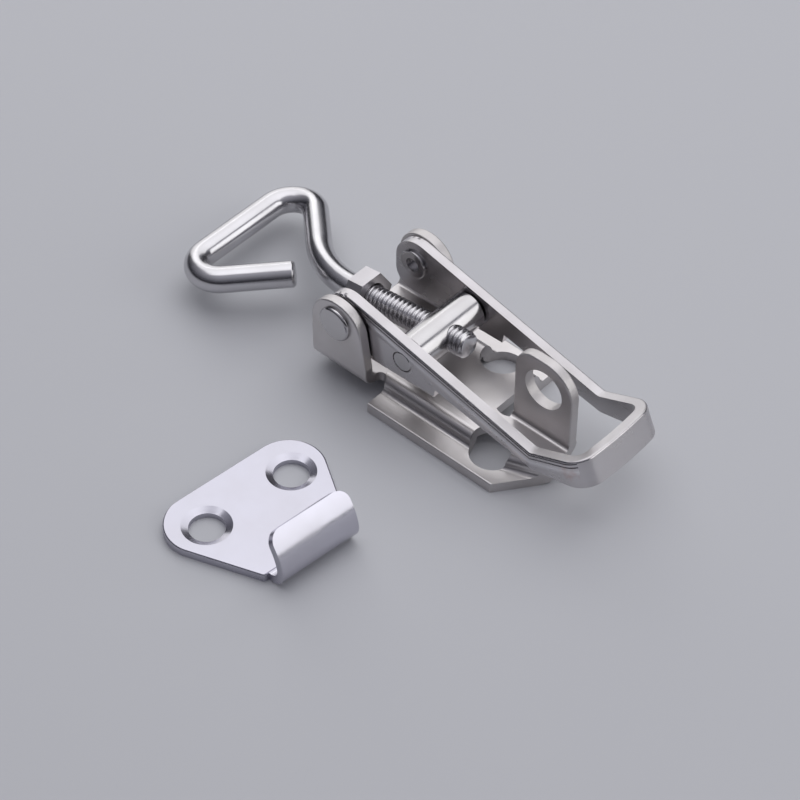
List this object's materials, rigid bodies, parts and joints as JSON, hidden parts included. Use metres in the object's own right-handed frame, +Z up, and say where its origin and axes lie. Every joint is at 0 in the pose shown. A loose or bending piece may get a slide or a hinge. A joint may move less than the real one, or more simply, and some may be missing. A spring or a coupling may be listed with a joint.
{
  "type": "over centre toggle latch",
  "caption": "Over centre toggle latch: hand lever, screw-adjusted wire hook on a cross pin, padlock lug and separate catch plate.",
  "frame": {"origin": "on the mounting surface, straight below the lever pivot, in the base's middle plane", "axes": "+X from the hook to the handle, +Y to the side whose sheet is bent up into the padlock lug, +Z up from the mounting surface"},
  "size_m": [0.1148, 0.0921, 0.026],
  "materials": {
    "sheet_steel": "bright polished sheet",
    "wire_steel": "bright polished wire",
    "turned_steel": "bright turned"
  },
  "bodies": {
    "base": {"base_plate": "sheet_steel", "pivot_rivet_near": "turned_steel", "pivot_rivet_far": "turned_steel", "catch_plate": "sheet_steel"},
    "lever": {"lever": "sheet_steel"},
    "cross_pin": {"cross_pin": "turned_steel"},
    "hook": {"hook": "wire_steel"},
    "lock_nut": {"lock_nut": "turned_steel"}
  },
  "joints": [
    {"name": "lever_pivot", "type": "hinge", "parent": "base", "child": "lever", "pos_m": [0, 0, 0.0176], "axis": [0, -1, 0], "range_deg": [0, 130]},
    {"name": "cross_pin_turn", "type": "hinge", "parent": "lever", "child": "cross_pin", "pos_m": [0.0163, 0, 0.01493], "axis": [0, -1, 0], "range_deg": [-130, 0]},
    {"name": "hook_adjust", "type": "slide", "parent": "cross_pin", "child": "hook", "axis": [0.9914, 0, 0.1305], "range_m": [-0.002, 0.006]},
    {"name": "lock_nut_travel", "type": "slide", "parent": "hook", "child": "lock_nut", "axis": [0.9914, 0, 0.1305], "range_m": [0, 0.0085]}
  ],
  "couplings": [
    {"joint": "cross_pin_turn", "follows": "lever_pivot", "ratio": -1}
  ]
}
